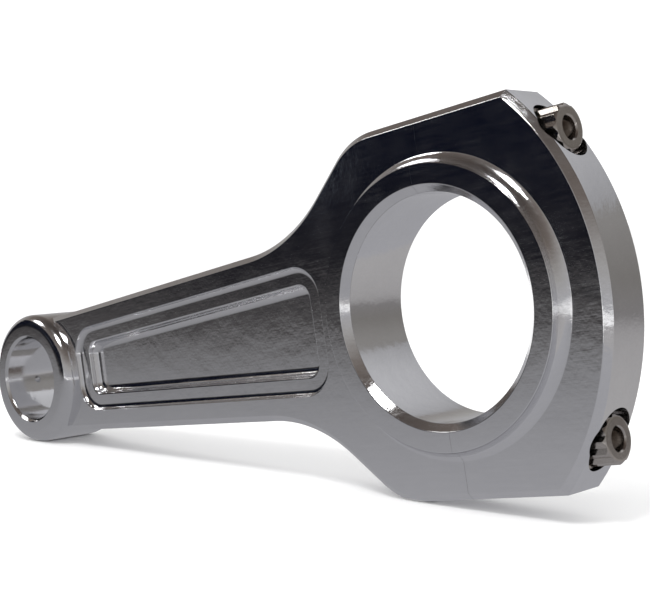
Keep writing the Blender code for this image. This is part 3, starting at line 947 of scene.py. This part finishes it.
def screw_thread():
    """A rolled thread: one tooth spun up a helix, run out at the shank and chamfered at the point."""
    root = SCREW_RADIUS - 0.6 * SCREW_PITCH
    turns = math.ceil((THREAD_TOP - SCREW_END) / SCREW_PITCH) + 1
    tooth = [(0.0, root), (0.42, SCREW_RADIUS), (0.58, SCREW_RADIUS), (1.0, root)]
    shape = bmesh.new()
    start = SCREW_END - SCREW_PITCH
    corners = [shape.verts.new((start + part * SCREW_PITCH, 0.0, r)) for part, r in tooth]
    edges = [shape.edges.new(pair) for pair in zip(corners, corners[1:])]
    bmesh.ops.spin(
        shape,
        geom=corners + edges,
        cent=(0.0, 0.0, 0.0),
        axis=(1.0, 0.0, 0.0),
        dvec=(SCREW_PITCH / THREAD_STEPS, 0.0, 0.0),
        angle=math.tau * turns,
        steps=THREAD_STEPS * turns,
        use_merge=False,
    )
    for corner in shape.verts:
        x = min(max(corner.co.x, SCREW_END), THREAD_TOP)
        limit = root + min(x - SCREW_END, THREAD_TOP - x)
        radius = math.hypot(corner.co.y, corner.co.z)
        shrink = min(radius, limit) / radius
        corner.co = (x, corner.co.y * shrink, corner.co.z * shrink)
    return object_of("thread", shape).data


def screw_body():
    """The flange under the head, the reduced shank and the core of the thread."""
    core = SCREW_RADIUS - 0.6 * SCREW_PITCH - 0.01 * MM
    ease = 0.3 * MM
    rim = arc((FLANGE_TOP - ease, FLANGE_RADIUS - ease), ease, math.radians(90.0), 0.0, 4)
    profile = [
        (SCREW_END, 0.0),
        (SCREW_END, core - THREAD_POINT),
        (SCREW_END + THREAD_POINT, core),
        (THREAD_TOP - 0.4 * MM, core),
        (THREAD_TOP, SHANK_RADIUS),
        (CLAMP_HEIGHT - 0.8 * MM, SHANK_RADIUS),
        (CLAMP_HEIGHT - 0.24 * MM, SHANK_RADIUS + 0.2 * MM),
        (CLAMP_HEIGHT, SHANK_RADIUS + 0.6 * MM),
        (CLAMP_HEIGHT, FLANGE_RADIUS - ease),
        (CLAMP_HEIGHT + ease, FLANGE_RADIUS),
        *rim,
        (FLANGE_TOP + 0.35 * MM, HEAD_RADIUS * 0.8),
        (FLANGE_TOP + 0.35 * MM, 0.0),
    ]
    return spun("screw_body", profile, False).data


screw_steel = metal(
    "oiled_screw_steel",
    (0.66, 0.62, 0.58),
    (0.34, 0.31, 0.29),
    (0.10, 0.24),
    (grain, {"Fineness": (2.2, 2.2, 2.2)}),
    0.8e-5,
)
for side, height in screw_heights.items():
    shape = bmesh.new()
    for mesh in (screw_head(), screw_body(), screw_thread()):
        shape.from_mesh(mesh)
    bmesh.ops.translate(shape, verts=shape.verts, vec=(0.0, 0.0, height))
    mesh = bpy.data.meshes.new(f"screw_{side}")
    shape.to_mesh(mesh)
    shape.free()
    finished(f"screw_{side}", mesh, f"bolt_{side}", f"bolt_{side}", [screw_steel], 30.0)


# ---------------------------------------------------------------- washers, hollow dowels, shell pin
# Hardened steel washers, chamfered on the side of the screw's fillet. Hollow dowels round the
# screws line the cap up with the rod, and the shell pin is ground steel rod with a rounded nose.
WASHER_BOTTOM = SEAT_HEIGHT + FIT_GAP
WASHER_TOP = WASHER_BOTTOM + WASHER_THICKNESS
WASHER_RADIUS = 6.95 * MM
WASHER_BORE = 5.35 * MM
WASHER_EDGE = 0.2 * MM
WASHER_COUNTERSINK = 0.5 * MM
SLEEVE_BORE = 5.1 * MM
SLEEVE_EDGE = 0.3 * MM
SHELL_PIN_RADIUS = 2.0 * MM
SHELL_PIN_START = CRANK_RADIUS - 1.0 * MM
SHELL_PIN_END = SHELL_PIN_HOLE_END - 0.2 * MM
SHELL_PIN_NOSE = 0.4 * MM
SHELL_PIN_EDGE = 0.3 * MM


def placed(piece, height):
    """The mesh of a turned piece, moved to its screw's height."""
    piece.data.transform(Matrix.Translation((0.0, 0.0, height)))
    return piece.data


washer_steel = metal(
    "hardened_washer",
    (0.52, 0.50, 0.49),
    (0.34, 0.33, 0.32),
    (0.20, 0.38),
    (grain, {"Fineness": (1.0, 1.0, 4.0)}),
    0.8e-5,
)
ground_steel = metal(
    "ground_dowel",
    (0.66, 0.66, 0.67),
    (0.52, 0.52, 0.53),
    (0.14, 0.30),
    (grain, {"Fineness": (5.0, 0.3, 0.3)}),
    0.6e-5,
)
for side, height in screw_heights.items():
    washer = spun(
        f"washer_{side}_ring",
        [
            (WASHER_BOTTOM, WASHER_BORE),
            (WASHER_BOTTOM, WASHER_RADIUS - WASHER_EDGE),
            (WASHER_BOTTOM + WASHER_EDGE, WASHER_RADIUS),
            (WASHER_TOP - WASHER_EDGE, WASHER_RADIUS),
            (WASHER_TOP, WASHER_RADIUS - WASHER_EDGE),
            (WASHER_TOP, WASHER_BORE + WASHER_COUNTERSINK),
            (WASHER_TOP - WASHER_COUNTERSINK, WASHER_BORE),
        ],
        True,
    )
    node = f"washer_{side}"
    finished(f"{node}_ring", placed(washer, height), node, node, [washer_steel])
    sleeve = spun(
        f"sleeve_{side}_ring",
        [
            (-SLEEVE_HALF, SLEEVE_BORE),
            (-SLEEVE_HALF, SLEEVE_RADIUS - SLEEVE_EDGE),
            (-SLEEVE_HALF + SLEEVE_EDGE, SLEEVE_RADIUS),
            (SLEEVE_HALF - SLEEVE_EDGE, SLEEVE_RADIUS),
            (SLEEVE_HALF, SLEEVE_RADIUS - SLEEVE_EDGE),
            (SLEEVE_HALF, SLEEVE_BORE),
        ],
        True,
    )
    node = f"sleeve_{side}"
    finished(f"{node}_ring", placed(sleeve, height), "rod", node, [ground_steel])

nose_centre = (SHELL_PIN_START + SHELL_PIN_NOSE, SHELL_PIN_RADIUS - SHELL_PIN_NOSE)
pin_nose = arc(nose_centre, SHELL_PIN_NOSE, math.radians(180.0), math.radians(90.0), 5)
shell_pin = spun(
    "shell_pin",
    [
        (SHELL_PIN_START, 0.0),
        *pin_nose,
        (SHELL_PIN_END - SHELL_PIN_EDGE, SHELL_PIN_RADIUS),
        (SHELL_PIN_END, SHELL_PIN_RADIUS - SHELL_PIN_EDGE),
        (SHELL_PIN_END, 0.0),
    ],
    False,
)
finished("shell_pin", shell_pin.data, "cap", "shell_dowel", [ground_steel])
